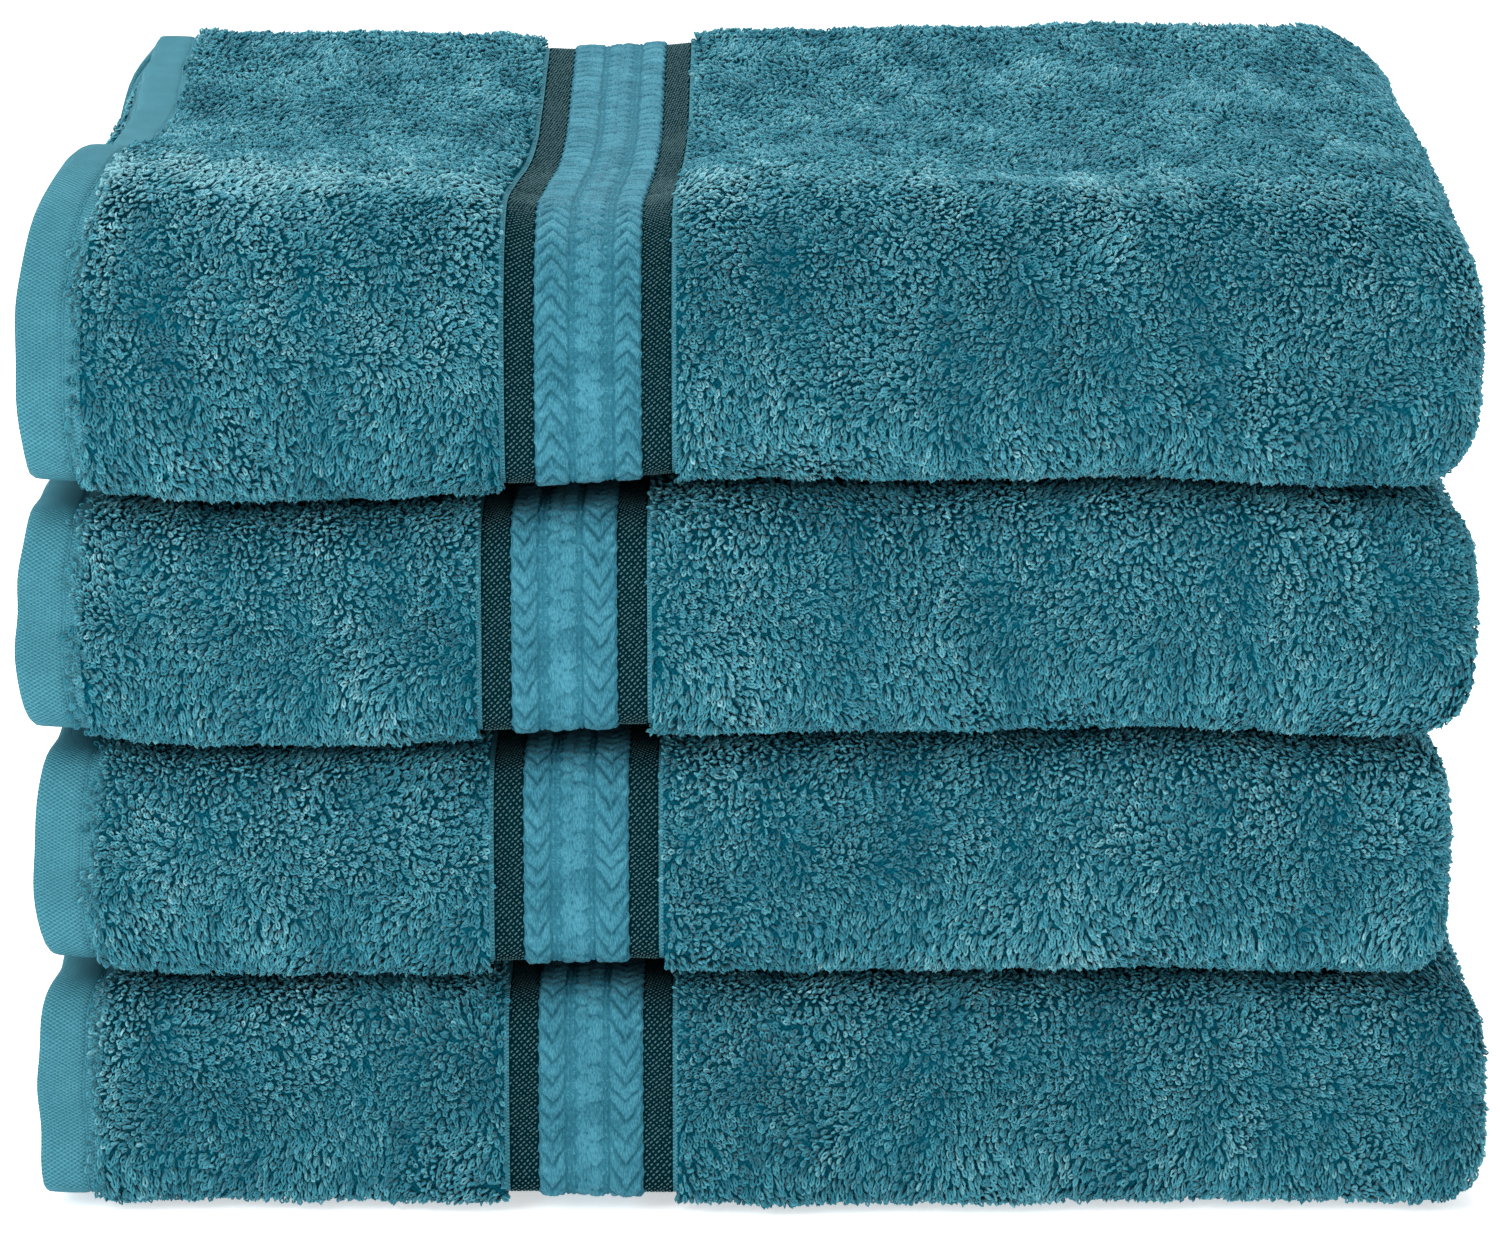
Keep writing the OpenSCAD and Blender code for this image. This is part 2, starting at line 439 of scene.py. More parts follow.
def cloth_outline(t):
    """The folded cloth's section along X: its two faces as rows of (q, depth) and each
    row's zone. Face A is the visible ply's outer face, and face B is the other."""
    face_a, face_b, zones = [], [], []

    def add(a, b, zone=TERRY):
        face_a.append(a)
        face_b.append(b)
        zones.append(zone)

    def fold(q, depth, side, radii_a, radii_b, steps):
        """A half turn about (q, depth) with each face's first and last radius."""
        for f in np.linspace(0, 1, steps + 1)[1:-1]:
            c, sn = math.cos(math.pi * f), math.sin(math.pi * f)
            ra, rb = (r[0] + (r[1] - r[0]) * f for r in (radii_a, radii_b))
            turn = 1 if side > 0 else -1
            add((q + side * abs(ra) * sn, depth - turn * ra * c),
                (q + side * abs(rb) * sn, depth - turn * rb * c))

    for q, outer, inner, zone in outer_ply(t):
        add((q, outer), (q, inner), zone)
    # round the fold at the right to the innermost ply, and left along it
    fold(t.turn, 2 * t.ply, 1,
         (2 * t.ply - GROUND_DEPTH, 2 * t.ply - SNUG), (t.ply + THIN, t.ply + THIN), 14)
    for q in spaced(t.left_turn, t.turn, HIDDEN_STEP)[::-1]:
        add((q, t.panel - SNUG), (q, 3 * t.ply + THIN))
    # round the fold at the left, out again, and round the inner fold
    fold(t.left_turn, 3 * t.ply, -1, (t.ply - SNUG, t.ply - SNUG), (THIN, THIN), 8)
    for q in spaced(t.left_turn, t.turn, HIDDEN_STEP):
        add((q, 2 * t.ply + SNUG), (q, 3 * t.ply - THIN))
    fold(t.turn, 2 * t.ply, 1, (-SNUG, -SNUG), (-(t.ply - THIN), -(t.ply - THIN)), 6)
    for q in spaced(t.hem, t.turn, HIDDEN_STEP)[::-1]:
        add((q, 2 * t.ply - SNUG), (q, t.ply + THIN))
    for q in (8 * MM, 2.2 * MM):
        add((q, 2 * t.ply - 0.9 * MM), (q, t.ply + 0.7 * MM), HEM)
    add((1.2 * MM, 1.5 * t.ply + 0.5 * MM), (1.2 * MM, 1.5 * t.ply - 0.5 * MM), HEM)
    return np.array(face_a), np.array(face_b), np.array(zones)


def across_places(t):
    """Places across the cloth, close together round the wraps."""
    stretches = [
        np.r_[spaced(t.s_start, 0, 1.6 * MM)[:-1], spaced(0, t.s_back, 9 * MM)],
        spaced(t.s_back, t.s_top, 3.5 * MM),
        spaced(t.s_top, t.s_front, 5 * MM),
        spaced(t.s_front, t.s_bottom, 3 * MM),
        spaced(t.s_bottom, t.s_end, 9 * MM),
    ]
    return np.concatenate([stretches[0]] + [s[1:] for s in stretches[1:]])


def make_cloth(t, materials):
    """The towel's cloth, one closed sheet in all its folds."""
    face_a, face_b, zones = cloth_outline(t)
    s = across_places(t)
    rows, columns = len(zones), len(s)
    points, uvs = [], []
    for face in (face_a, face_b):
        q, w = face[:, :1], face[:, 1:]
        points.append(t.place(q, s[None, :], w).reshape(-1, 3))
        lengths = np.cumsum(np.r_[0, np.hypot(*np.diff(face, axis=0).T)])
        u, v = np.broadcast_arrays(lengths[:, None], s[None, :])
        uvs.append(np.stack([u, v], -1).reshape(-1, 2))
    side = grid_quads(rows, columns)
    other = side[:, ::-1] + rows * columns
    step = rows * columns
    shades = np.repeat(zones[:-1], columns - 1)
    edge = np.arange(rows - 1) * columns
    near = np.stack([edge, edge + columns, edge + columns + step, edge + step], 1)
    far = near[:, ::-1] + columns - 1
    run = np.arange(columns - 1)
    start = np.stack([run + step, run + 1 + step, run + 1, run], 1)
    end = start[:, ::-1] + (rows - 1) * columns
    quads = np.concatenate([side, other, near, far, start, end])
    hidden = np.where(shades == HEM, HEM, TERRY)
    shades = np.concatenate([
        shades, hidden, np.full(2 * (rows - 1), HEM), np.full(2 * (columns - 1), HEM)
    ])
    piece = new_mesh(
        f"{t.body}_cloth", np.concatenate(points), quads, shades=shades,
        uvs=np.concatenate(uvs),
    )
    return add_piece(piece, t, materials)


# ---------------------------------------------------------------- the terry loops

LOOP_LENGTH, LOOP_WIDTH, YARN_RADIUS = 1.95 * MM, 0.66 * MM, 0.31 * MM
FOOT_SPREAD = 0.3 * MM
JITTER = 0.34  # how far a loop is off its place in the weave, in spacings
RISE, RISE_SPREAD = 0.76, 0.22  # angle of a loop over the cloth, in radians
LEAN_SPREAD, ROLL_SPREAD = 0.5, 0.55  # of its direction and its own turn, in radians
TONE_SPREAD = 0.7  # of its colour, in shades
EDGE_REACH = 1.9 * MM  # how far in from an edge of the terry the loops lean out over it
RAGGED = 2.7 * MM  # how far the pile wanders over the hem
NEAT_SHARE = 0.28  # of that, how far it wanders over the border
RELIEF = 0.28 * MM  # height of the pile's own creases
LOOPS_PER_PIECE = 6000  # of up to 26 triangles each, so no piece is too big to export whole
# The width over the roll of the stretch where the loops lie flatter and are painted paler, a
# painted sheen, and how far it is strongest from the hemmed end
FLAT_SHEEN_WIDTH, FLAT_SHEEN_REACH = 18 * MM, 130 * MM


def loop_field(t, q, s):
    """The direction in which loops lean, as an angle from +q towards +s."""
    swirl = waves(100 + t.number, q, s, 0.045)
    drift = waves(120 + t.number, q, s, 0.15)
    tufts = waves(110 + t.number, q, s, 0.014)
    return math.pi / 2 + 1.2 * swirl + 0.5 * drift + 0.6 * tufts


def flattened_with_sheen(t, q, s):
    """How far the pile lies flatter along the top towel's front roll, most at its left, and how far
    it is painted paler there: a painted sheen."""
    if not t.on_top:
        return 0.0 * q
    roll = np.exp(-(((s - t.s_front - 3 * MM) / FLAT_SHEEN_WIDTH) ** 2))
    return roll * (1.0 + 2.4 * np.exp(-((q / FLAT_SHEEN_REACH) ** 2)))


def scatter_loops(t, area, spacing, rng):
    """Places (q, s) of the loops over an area (q0, q1, s0, s1), and how far each is drawn
    out over the area's ends, from -1 to 1."""
    q0, q1, s0, s1 = area
    columns, rows = round((q1 - q0) / spacing), round((s1 - s0) / spacing)
    q, s = np.meshgrid(
        q0 + (np.arange(columns) + 0.5) * (q1 - q0) / columns,
        s0 + (np.arange(rows) + 0.5) * (s1 - s0) / rows,
    )
    q = (q + (np.arange(rows)[:, None] % 2 - 0.5) * 0.5 * spacing).ravel()
    s = s.ravel()
    count = len(q)
    q = np.clip(q + rng.uniform(-JITTER, JITTER, count) * spacing, q0, q1)
    s = np.clip(s + rng.uniform(-JITTER, JITTER, count) * spacing, s0, s1)
    outward = np.exp((q - q1) / EDGE_REACH) - np.exp((q0 - q) / EDGE_REACH)
    wander = 0.15 + 0.45 * waves(170 + t.number, q, s, 0.012) + rng.normal(0, 0.3, count)
    q = q + RAGGED * wander * outward * np.where(q < t.border / 2, 1.0, NEAT_SHARE)
    return q, s, outward


def loop_ground(t, face, q, s):
    """The ground under each loop: its place, its normal and the directions of q and s."""
    x, w, nx, nw = face(q)
    y, z, ny, nz, ty, tz = t.across(s, w)
    base = np.stack([x, y, z], -1)
    normal = np.stack([nx, nw * ny, nw * nz], -1)
    along_q = np.stack([nw, -nx * ny, -nx * nz], -1)
    along_s = np.stack([0 * x, ty, tz], -1)
    return base, normal, along_q, along_s


def bent_tubes(base, normal, reach, beside, flat, size, rings, rng):
    """Points of the loops' tubes, by loop, ring and corner. Each loop reaches out from its
    base and back, in the plane of its reach and of what is beside it."""
    count = len(base)
    length = (size * LOOP_LENGTH * rng.uniform(0.78, 1.22, count))[:, None]
    width = (size * LOOP_WIDTH * rng.uniform(0.75, 1.25, count))[:, None]
    yarn = YARN_RADIUS * rng.uniform(0.85, 1.15, count)[:, None] * size
    centres = []
    for f in np.linspace(0, 1, rings):
        out = length * math.sin(math.pi * f)
        sway = width / 2 * math.sin(2 * math.pi * f) + FOOT_SPREAD / 2 * math.cos(math.pi * f)
        centres.append(base - 0.3 * MM * normal + reach * out + beside * sway
                       - 0.16 * normal * out**2 / length)
    centres = np.stack(centres, 1)
    direction = np.gradient(centres, axis=1)
    direction /= np.linalg.norm(direction, axis=-1, keepdims=True) + 1e-12
    across = np.cross(direction, flat[:, None, :])
    across /= np.linalg.norm(across, axis=-1, keepdims=True) + 1e-12
    points = []
    for corner in range(3):
        a = 2 * math.pi * corner / 3
        points.append(centres + yarn[:, None] * (
            math.cos(a) * flat[:, None, :] + math.sin(a) * across))
    return np.stack(points, 2)


def tube_faces(rings):
    """Quads of one loop's tube and the triangles that close its feet."""
    ring = np.arange(rings - 1)[:, None] * 3
    corner = np.arange(3)[None, :]
    after = (corner + 1) % 3
    tube = np.stack([ring + corner, ring + after, ring + 3 + after, ring + 3 + corner], -1)
    last = (rings - 1) * 3
    return tube.reshape(-1, 4), np.array([[0, 2, 1], [last, last + 1, last + 2]])


def make_loops(t, name, face, area, spacing, rings, rng, materials, size=1.0):
    """Terry loops over an area (q0, q1, s0, s1) of a face of the cloth, as bent tubes.

    A loop leaves the ground, leans over, turns back at its tip and returns beside its
    own foot, so it reads as a small ring from the front.
    """
    q, s, outward = scatter_loops(t, area, spacing, rng)
    count = len(q)
    base, normal, along_q, along_s = loop_ground(t, face, q, s)
    # Crease lines and clumped patches of the pile, which sink and raise the loops and also paint
    # shade and light on them through their tone
    creases_and_shade = waves(150 + t.number, q, 0.4 * s, 0.026)
    clumps_and_shade = waves(130 + t.number, q, s, 0.011)
    # The loops lie flatter along the top towel's roll and take paler tones there, a painted sheen.
    flattened_sheen_share = flattened_with_sheen(t, q, s) * (normal[:, 0] >= 0)  # not inside the fold at the left
    relief = creases_and_shade + 0.6 * waves(160 + t.number, q, s, 0.008)
    base = base + RELIEF * np.clip(1 + relief, 0, 2.2)[:, None] * normal

    angle = loop_field(t, q, s) + rng.normal(0, LEAN_SPREAD, count)
    towards_q, towards_s = np.cos(angle) + 1.3 * outward, np.sin(angle)
    total = np.hypot(towards_q, towards_s)
    lean = (towards_q / total)[:, None] * along_q + (towards_s / total)[:, None] * along_s
    beside = np.cross(normal, lean)
    rise = rng.normal(RISE, RISE_SPREAD, count) + 0.14 * clumps_and_shade - 0.13 * flattened_sheen_share
    rise = np.clip(rise, 0.25, 1.35)[:, None]
    reach = np.cos(rise) * lean + np.sin(rise) * normal
    flat = np.cross(beside, reach)
    roll = rng.normal(0, ROLL_SPREAD, count)[:, None]
    beside, flat = (
        np.cos(roll) * beside + np.sin(roll) * flat,
        np.cos(roll) * flat - np.sin(roll) * beside,
    )
    points = bent_tubes(base, normal, reach, beside, flat, size, rings, rng)
    points = t.relax(points.reshape(-1, 3)).reshape(count, rings * 3, 3)

    # The tone: a random change of dye, painted shade where the pile sinks along its crease lines,
    # painted light and shade with the clumped patches where loops stand up or lie, a painted sheen
    # along the top towel's roll, and painted shade on the coarse loops for the shade a denser pile
    # casts among its loops.
    tone = 0.4 * waves(140 + t.number, q, s, 0.06) + 0.5 * creases_and_shade + 0.5 * clumps_and_shade
    tone = tone + rng.normal(0, TONE_SPREAD, count) + flattened_sheen_share - 1.2 * (size - 1)
    shade = np.clip(np.round(tone + 2), 0, len(PILE_COLOURS) - 1).astype(int)
    tube, caps = tube_faces(rings)
    pieces = []
    order = np.argsort(s, kind="stable")
    for number, part in enumerate(np.array_split(order, math.ceil(count / LOOPS_PER_PIECE))):
        offset = (np.arange(len(part)) * rings * 3)[:, None, None]
        piece = new_mesh(
            f"{t.body}_{name}_{number + 1}",
            points[part].reshape(-1, 3),
            (tube[None] + offset).reshape(-1, 4),
            (caps[None] + offset).reshape(-1, 3),
            np.concatenate([np.repeat(shade[part], len(tube)), np.repeat(shade[part], 2)]),
        )
        pieces.append(add_piece(piece, t, materials))
    return pieces


# ---------------------------------------------------------------- the border

BRAID_PITCH = 5.4 * MM
# Columns of the braid, as shares of its width
LEFT_COLUMN, RIGHT_COLUMN = (0.0, 0.256), (0.675, 1.0)
OVALS = ((0.423, 0.0), (0.537, 0.5))  # each column's middle and its shift along the braid
LADDERS = ((0.262, 0.355), (0.592, 0.670))
STROKE_HEIGHT, OVAL_HEIGHT, RUNG_HEIGHT = 0.95 * MM, 0.85 * MM, 0.45 * MM
CREASE = 0.75 * MM  # from the bottom of a crease between two strokes to its shoulder
BRAID_LIT = 0.62 * MM  # relief above this keeps the braid's own colour; the faces below it are painted darker, a painted shade in the hollows


def chevrons(x, s, slope, low, high):
    """Padded strokes that meet along a column's middle."""
    centre, half = (low + high) / 2, (high - low) / 2
    off = np.abs(x - centre)
    phase = (s + slope * off) / BRAID_PITCH
    share = phase - np.floor(phase)
    gap = BRAID_PITCH * np.minimum(share, 1 - share) / np.sqrt(1 + slope**2)
    height = 0.6 * smooth(gap / CREASE) + 0.4 * np.sin(math.pi * share)
    edge = smooth((half - off) / (0.6 * MM)) * (1 - 0.3 * (off / half) ** 2)
    return np.where(off < half, height * edge, 0.0)


def ovals(x, s, middle, shift):
    """A column of padded ovals."""
    place = s / BRAID_PITCH + shift
    along = (place - np.round(place)) / 0.53
    off = (x - middle) / (1.9 * MM)
    return np.sqrt(np.clip(1 - along**2 - off**2, 0, 1))


def ladder(x, s, low, high):
    """A narrow line of fine rungs between two columns."""
    rung = np.abs(np.sin(math.pi * s / (BRAID_PITCH / 7)))
    rail = np.abs(np.sin(2 * math.pi * (x - low) / (high - low)))
    return np.where((x > low) & (x < high), 0.2 + 0.8 * rung * rail, 0.0)


def braid_height(t, x, s, width):
    """Height of the braid over the flat weave. Its strokes point down the front, but up
    on the top towel, which is folded the other way round."""
    slope = 1.45
    if t.on_top:
        slope = slope - 0.9 * smooth((t.s_front + 6 * MM - s) / (14 * MM))
        x, s = width - x, -s
    x = x + 0.18 * MM * waves(70, x, s, 0.006)
    s = s + 0.28 * MM * waves(72, x, s, 0.009)
    height = 0.3 * MM + 0.08 * MM * waves(71, x, 0.5 * s, 0.0011)
    for low, high in (LEFT_COLUMN, RIGHT_COLUMN):
        height = height + STROKE_HEIGHT * chevrons(x, s, slope, width * low, width * high)
    middle = np.maximum(*(ovals(x, s, width * place, shift) for place, shift in OVALS))
    height = height + OVAL_HEIGHT * middle
    for low, high in LADDERS:
        height = height + RUNG_HEIGHT * ladder(x, s, width * low, width * high)
    return height


def make_braid(t, name, s0, s1, step, materials):
    """The raised band of the border, with its edges turned down into the cloth."""
    width = t.braid_end - t.braid
    x = spaced(0, width, step)
    s = spaced(s0, s1, step)
    height = braid_height(t, x[:, None], s[None, :], width)
    x = np.r_[x[0], x, x[-1]]
    sunk = np.full((1, len(s)), -0.4 * MM)
    height = np.concatenate([sunk, height, sunk])
    scallop = 0.3 * MM * np.sin(2 * math.pi * s / BRAID_PITCH)[None, :]
    share = x[:, None] / width
    q = t.braid + x[:, None] - scallop * np.exp(-share * 12) + scallop * np.exp((share - 1) * 12)
    points = t.place(q, s[None, :], FLAT_DEPTH - height).reshape(-1, 3)
    quads = grid_quads(len(x), len(s))
    # Faces low in the relief get the darker material, a painted shade, and the others the lit one
    lit = height.ravel()[quads].mean(1) > BRAID_LIT
    u, v = np.broadcast_arrays(x[:, None], s[None, :])
    piece = new_mesh(
        f"{t.body}_{name}", points, quads, shades=lit.astype(int),
        uvs=np.stack([u, v], -1).reshape(-1, 2),
    )
    return add_piece(piece, t, materials)


def make_dashes(t, name, places, run, width, height, depth, materials):
    """Short raised stitches over the cloth, at places (q, s) and with half lengths run
    (dq, ds), each with a rounded back and pointed ends."""
    (q, s), (dq, ds) = places, run
    length = np.hypot(dq, ds)
    side_q, side_s = -ds / length * width / 2, dq / length * width / 2
    outline = [(-1, 0, 0), (-0.6, 1, 0), (0.6, 1, 0), (1, 0, 0), (0.6, -1, 0),
               (-0.6, -1, 0), (-0.45, 0, 1), (0.45, 0, 1)]
    points = np.stack([
        t.place(q + along * dq + side * side_q, s + along * ds + side * side_s,
                depth - up * height)
        for along, side, up in outline
    ], 1)
    quads = np.array([[1, 2, 7, 6], [4, 5, 6, 7]])
    triangles = np.array([[0, 1, 6], [2, 3, 7], [3, 4, 7], [5, 0, 6]])
    offset = (np.arange(len(q)) * len(outline))[:, None, None]
    piece = new_mesh(
        f"{t.body}_{name}", points.reshape(-1, 3),
        (quads[None] + offset).reshape(-1, 4), (triangles[None] + offset).reshape(-1, 3),
    )
    return add_piece(piece, t, materials)


TWILL_ACROSS = 1.45 * MM  # from one dash to the next across a stripe
TWILL_DOWN = 0.74 * MM  # from one row of dashes to the next


def make_twill(t, name, q0, q1, rng, materials):
    """Pale dashes woven over a dark stripe, in lines that rise to the right."""
    rows = np.arange(t.s_back, t.s_bottom, TWILL_DOWN)
    places = []
    for number, s in enumerate(rows):
        first = q0 + 0.35 * MM + (-number * TWILL_DOWN * 1.1) % TWILL_ACROSS
        places += [(q, s) for q in np.arange(first, q1 - 0.35 * MM, TWILL_ACROSS)]
    q, s = np.array(places).T
    q = q + rng.normal(0, 0.04, len(q)) * MM
    s = s + rng.normal(0, 0.04, len(s)) * MM
    half = 0.25 * MM * rng.uniform(0.7, 1.3, len(q))
    return make_dashes(t, name, (q, s), (half * 1.1, -half), 0.37 * MM,
                       0.14 * MM, FLAT_DEPTH - 0.02 * MM, materials)


def make_hem_stitches(t, rng, materials):
    """The line of stitches that holds the hem."""
    s = np.arange(t.s_back, t.s_bottom + 0.02, 3.0 * MM)
    q = np.full(len(s), t.hem - STITCH_INSET) + rng.normal(0, 0.05, len(s)) * MM
    return make_dashes(t, "hem_stitches", (q, s),
                       (np.full(len(s), 0.02 * MM), np.full(len(s), 1.1 * MM)), 0.5 * MM,
                       0.35 * MM, HEM_DEPTH + 0.3 * MM, materials)


# ---------------------------------------------------------------- materials


def linear(colour):
    """A linear colour from 0-255 display values."""
    v = np.array(colour) / 255.0
    v = np.where(v <= 0.04045, v / 12.92, ((v + 0.055) / 1.055) ** 2.4)
    return (*v, 1.0)


def cotton(name, colour, roughness=0.7, sheen=0.35, gloss=0.3):
    """Cotton yarn: matt, with a soft sheen from its fibres."""
    material = bpy.data.materials.new(name)
    material.use_nodes = True
    shader = material.node_tree.nodes["Principled BSDF"]
    shader.inputs["Base Color"].default_value = linear(colour)
    shader.inputs["Roughness"].default_value = roughness
    shader.inputs["Specular IOR Level"].default_value = gloss
    shader.inputs["Sheen Weight"].default_value = sheen
    shader.inputs["Sheen Roughness"].default_value = 0.45
    shader.inputs["Sheen Tint"].default_value = linear((190, 225, 232))
    material.diffuse_color = linear(colour)
    return material, material.node_tree, shader


def add_node(tree, kind, **values):
    """A new node, with its properties or inputs set by name."""
    node = tree.nodes.new(kind)
    for name, value in values.items():
        if hasattr(node, name):
            setattr(node, name, value)
        else:
            node.inputs[name].default_value = value
    return node


def add_math(tree, operation, *values):
    """The output of a Math node over numbers or other nodes' outputs."""
    node = add_node(tree, "ShaderNodeMath", operation=operation)
    for socket, value in zip(node.inputs, values):
        if isinstance(value, float):
            socket.default_value = value
        else:
            tree.links.new(value, socket)
    return node.outputs[0]


SLUB_SCALE, PATCH_SCALE = 2600.0, 110.0  # of the noises, in cells per metre
MIDDLE_SHADE = 1.4  # of the noises and threads added together


def woven(name, pale, dark, bump, threads=None, sheen=0.0, gloss=0.1, contrast=1.0, fibre=1.0):
    """A flat weave over the cloth's own coordinates, in metres: crossing threads, slubs
    drawn out across the cloth by `fibre`, and slight changes of colour."""
    material, tree, shader = cotton(name, pale, sheen=sheen, gloss=gloss)
    link = tree.links.new
    place = add_node(tree, "ShaderNodeUVMap", uv_map="cloth")
    drawn_out = add_node(tree, "ShaderNodeVectorMath", operation="MULTIPLY")
    drawn_out.inputs[1].default_value = (1.0, 1.0 / fibre, 1.0)
    slub = add_node(tree, "ShaderNodeTexNoise", Scale=SLUB_SCALE, Detail=2.0)
    patches = add_node(tree, "ShaderNodeTexNoise", Scale=PATCH_SCALE, Detail=3.0)
    link(place.outputs["UV"], drawn_out.inputs[0])
    link(drawn_out.outputs[0], slub.inputs["Vector"])
    link(place.outputs["UV"], patches.inputs["Vector"])
    crossing = 0.0
    if threads:
        split = add_node(tree, "ShaderNodeSeparateXYZ")
        link(place.outputs["UV"], split.inputs[0])
        turns = [
            add_math(tree, "MULTIPLY", split.outputs[axis], 2 * math.pi / threads[axis])
            for axis in (0, 1)
        ]
        crossing = add_math(
            tree, "MULTIPLY", *(add_math(tree, "SINE", turn) for turn in turns))
    rough = add_math(tree, "MULTIPLY_ADD", slub.outputs["Fac"], 1.6, crossing)
    shade = add_math(tree, "MULTIPLY_ADD", patches.outputs["Fac"], 1.2, rough)
    ramp = add_node(tree, "ShaderNodeMapRange")
    ramp.inputs["From Min"].default_value = MIDDLE_SHADE - 1.0 / contrast
    ramp.inputs["From Max"].default_value = MIDDLE_SHADE + 1.0 / contrast
    link(shade, ramp.inputs["Value"])
    mix = add_node(tree, "ShaderNodeMix", data_type="RGBA")
    mix.inputs[6].default_value = linear(dark)
    mix.inputs[7].default_value = linear(pale)
    link(ramp.outputs[0], mix.inputs[0])
    link(mix.outputs[2], shader.inputs["Base Color"])
    relief = add_node(tree, "ShaderNodeBump")
    relief.inputs["Strength"].default_value = 0.9
    relief.inputs["Distance"].default_value = bump
    link(rough, relief.inputs["Height"])
    link(relief.outputs[0], shader.inputs["Normal"])
    return material


# The dyed yarn in six tones, from the darkest, which also paints shade on loops sunk in the pile,
# to the palest, which also paints the sheen on the top towel's roll
PILE_COLOURS = (
    (20, 99, 117), (33, 114, 132), (49, 130, 147), (69, 145, 161), (97, 163, 176),
    (122, 181, 192),
)


def make_materials():
    """All the materials, by their use on a towel."""
    pile = [
        cotton(f"pile_shade_{i + 1}", colour, roughness=0.6, sheen=0.25, gloss=0.2)[0]
        for i, colour in enumerate(PILE_COLOURS)
    ]
    fine, coarse = (0.7 * MM, 0.9 * MM), (1.6 * MM, 1.6 * MM)
    return dict(
        pile=pile,
        hem=woven("hem_weave", (78, 146, 162), (44, 106, 121), 0.25 * MM, (1.6 * MM, 0.9 * MM),
                  contrast=1.5),
        # The cloth under the loops, in the yarn's dye painted darker: a painted shade between the
        # loops
        ground=woven("terry_ground_painted_shade", (11, 94, 112), (4, 67, 85), 0.4 * MM, coarse, gloss=0.0),
        stripe=woven("stripe_ground", (3, 38, 45), (0, 22, 28), 0.1 * MM, fine, gloss=0.0),
        braid=woven("braid_weave", (70, 137, 155), (32, 94, 112), 0.3 * MM, sheen=0.1,
                    contrast=3.0, fibre=3.0),
        # The braid's low faces, painted darker: a painted shade
        groove=woven("braid_painted_shade", (50, 116, 134), (26, 86, 104), 0.15 * MM,
                     contrast=2.5, fibre=3.0),
        dash=cotton("twill_dash", (62, 96, 101), sheen=0.05, gloss=0.15)[0],
        thread=cotton("hem_thread", (50, 122, 140), sheen=0.05)[0],
    )


# ---------------------------------------------------------------- one towel


# Spacing of the loops in millimetres: where they are seen closely, round the folds at the
# ends, on the back, on a top that is covered, and on the underside
FINE, FOLDED, BACK, COVERED, HIDDEN = 1.34, 2.2, 2.3, 2.7, 6.5
COARSE_LOOPS = 1.35  # size of the loops where they aren't seen closely
NOSE_SHARE = 0.86  # of the half turn at the right that carries loops
LEFT_FOLD_SHARE = 0.3  # of the half turn at the left that carries none
UNDER_EDGE = 7 * MM  # from the front wrap's end, where the fine loops stop
BRAID_STEP, COVERED_BRAID_STEP = 0.3, 0.8  # of the braid's grid, in millimetres


def pile_areas(t):
    """The areas of a towel's loops: name, face, (q0, q1, s0, s1) and spacing. The top
    towel's upper face is seen closely, and the others' only when they are lifted apart."""
    nose = t.turn + NOSE_SHARE * math.pi * (t.panel / 2 - GROUND_DEPTH)
    tuck, lap = (0.0, 20 * MM) if t.on_top else (6 * MM, 0.0)
    top = t.s_top - lap, t.s_front + tuck
    front = t.s_front + tuck, t.s_bottom - UNDER_EDGE
    back = t.s_back, t.s_top - lap
    bottom = t.s_bottom - UNDER_EDGE, t.s_end
    fields = [
        ("front", nose, front, FINE),
        ("back", nose, back, BACK),
        ("top", nose if t.on_top else t.turn, top, FINE if t.on_top else COVERED),
        ("bottom", t.turn, bottom, HIDDEN),
    ]
    first, last = t.hem - 0.1 * MM, t.border - 1.8 * MM
    areas = [(f"end_pile_{name}", t.along, (first, last, *s), step) for name, _, s, step in fields]
    first = t.border_end + 1.7 * MM
    areas += [(f"main_pile_{name}", t.along, (first, q1, *s), step) for name, q1, s, step in fields]
    areas += [
        ("fold_pile_middle", t.along, (t.turn, nose, t.s_start, t.s_back), FOLDED),
        ("fold_pile_bottom", t.along, (t.turn, nose, *bottom), FOLDED),
    ]
    if not t.on_top:
        areas.append(("fold_pile_top", t.along, (t.turn, nose, *top), FOLDED))
    half_turn = math.pi * (t.ply - SNUG)
    left_fold = LEFT_FOLD_SHARE * half_turn, half_turn, t.s_start, t.s_end
    areas.append(("left_fold_pile", t.along_left_fold, left_fold, FOLDED))
    return areas


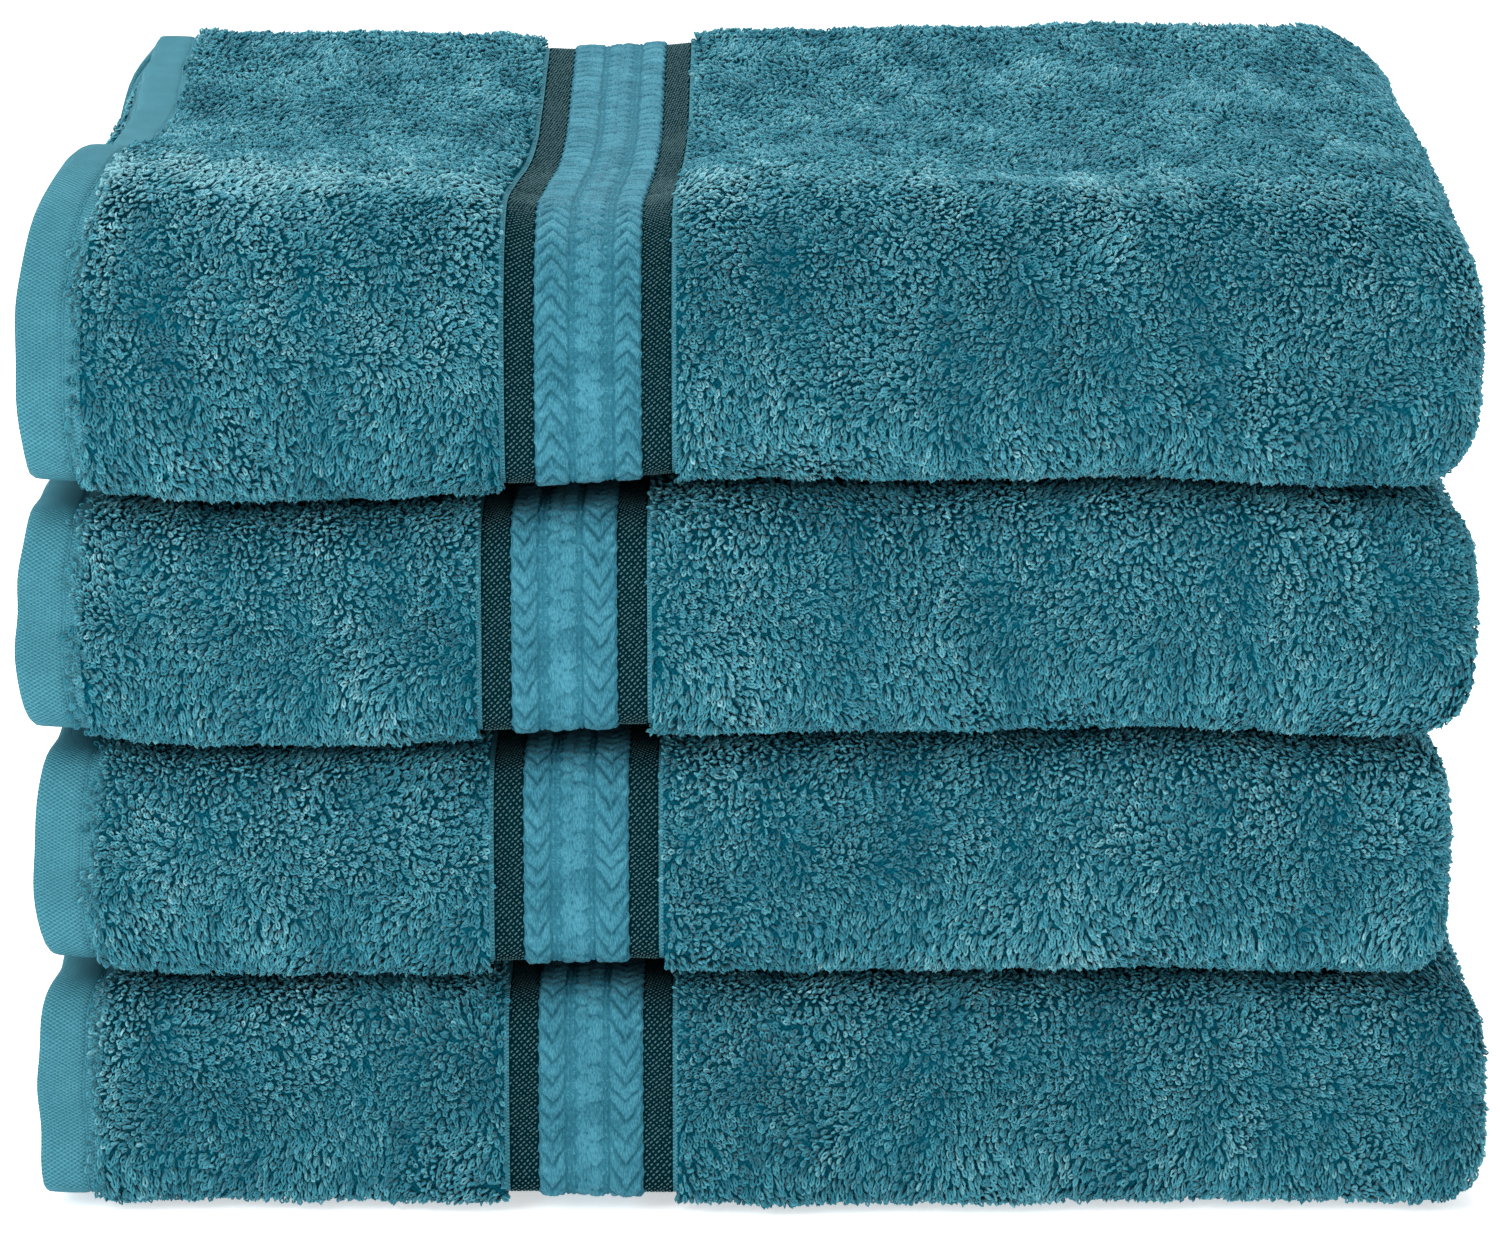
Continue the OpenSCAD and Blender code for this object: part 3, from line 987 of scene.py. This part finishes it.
def make_towel(t, look):
    """All the pieces of one towel."""
    rng = np.random.default_rng(SEED + t.number)
    coarse = 1.0
    cloth = make_cloth(t, [look["hem"], look["ground"], look["stripe"], look["braid"]])
    pieces = []
    for name, face, area, spacing in pile_areas(t):
        closely = spacing == FINE
        rings = 5 if closely else 4
        size = 1.0 if closely or face != t.along else COARSE_LOOPS
        pieces += make_loops(
            t, name, face, area, spacing * MM * coarse, rings, rng, look["pile"], size)
    braid_shade_and_lit = [look["groove"], look["braid"]]
    front_step = BRAID_STEP * MM * coarse
    top_step = (BRAID_STEP if t.on_top else COVERED_BRAID_STEP) * MM * coarse
    braids = [
        make_braid(t, "braid_front", t.s_front, t.s_bottom, front_step, braid_shade_and_lit),
        make_braid(t, "braid_top", t.s_back, t.s_front, top_step, braid_shade_and_lit),
    ]
    outer = make_twill(t, "outer_stripe_twill", t.border, t.braid, rng, [look["dash"]])
    inner = make_twill(t, "inner_stripe_twill", t.braid_end, t.border_end, rng, [look["dash"]])
    stitches = make_hem_stitches(t, rng, [look["thread"]])
    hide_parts(*(f"{t.body}_{part}" for part in (
        "end_hem", "end_terry", "outer_terry", "inner_terry", "far_end")))
    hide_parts(f"{t.body}_braid")
    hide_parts(f"{t.body}_outer_stripe")
    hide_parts(f"{t.body}_inner_stripe")
    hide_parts(f"{t.body}_hem_stitching")
    return cloth


# ---------------------------------------------------------------- stage


LENS, SENSOR = 157.75, 36.0  # a long lens, in millimetres
CAMERA_PLACE, LOOKING_DOWN = (-0.0016, -1.639, 0.506), 13.3  # metres, degrees


def make_camera():
    """A camera in front and a little above, as a catalogue picture is taken."""
    data = bpy.data.cameras.new("camera")
    camera = bpy.data.objects.new("camera", data)
    bpy.context.scene.collection.objects.link(camera)
    data.sensor_width = SENSOR
    data.lens = LENS
    camera.location = CAMERA_PLACE
    camera.rotation_euler = (math.radians(90 - LOOKING_DOWN), 0, 0)
    bpy.context.scene.camera = camera
    return camera


def make_floor():
    """A pale floor that glows a little, so it goes white as in the photo."""
    size = 6.0
    points = np.array([[-size, -size, 0], [size, -size, 0], [size, size, 0], [-size, size, 0]])
    floor = new_mesh("floor", points, np.array([[0, 1, 2, 3]]))
    floor.location.z = -0.0005
    material = bpy.data.materials.new("floor")
    material.use_nodes = True
    shader = material.node_tree.nodes["Principled BSDF"]
    shader.inputs["Base Color"].default_value = (0.93, 0.93, 0.93, 1)
    shader.inputs["Roughness"].default_value = 0.9
    shader.inputs["Specular IOR Level"].default_value = 0.1
    shader.inputs["Emission Color"].default_value = (1, 1, 1, 1)
    shader.inputs["Emission Strength"].default_value = 0.55
    floor.data.materials.append(material)


def make_surround():
    """A white surround, brighter to the camera than as a light."""
    world = bpy.data.worlds.new("surround")
    world.use_nodes = True
    tree = world.node_tree
    sky = tree.nodes["Background"]
    sky.inputs["Color"].default_value = (1, 1, 1, 1)
    seen = add_node(tree, "ShaderNodeLightPath")
    strength = add_node(tree, "ShaderNodeMapRange")
    strength.inputs["To Min"].default_value = 0.7
    strength.inputs["To Max"].default_value = 1.05
    tree.links.new(seen.outputs["Is Camera Ray"], strength.inputs["Value"])
    tree.links.new(strength.outputs[0], sky.inputs["Strength"])
    bpy.context.scene.world = world


def make_light(name, place, target, size, power):
    """A square soft box at a place, turned to its target."""
    data = bpy.data.lights.new(name, "AREA")
    data.shape = "SQUARE"
    data.size = size
    data.energy = power
    light = bpy.data.objects.new(name, data)
    bpy.context.scene.collection.objects.link(light)
    light.location = place
    aim = Vector(target) - Vector(place)
    light.rotation_euler = aim.to_track_quat("-Z", "Y").to_euler()
    return light


def main():
    scene = bpy.context.scene
    scene.view_settings.view_transform = "Standard"
    scene.view_settings.look = "None"
    make_camera()
    make_floor()
    make_surround()
    middle = (0, 0, 0.13)
    make_light("key", (-1.3, -1.3, 1.2), middle, 1.2, 27)
    make_light("top", (-0.2, 0.7, 1.7), middle, 1.4, 27)
    make_light("fill", (1.2, -1.7, 0.3), middle, 1.4, 14)
    look = make_materials()
    below = None
    for towel in make_towels():
        below = make_towel(towel, look)


main()
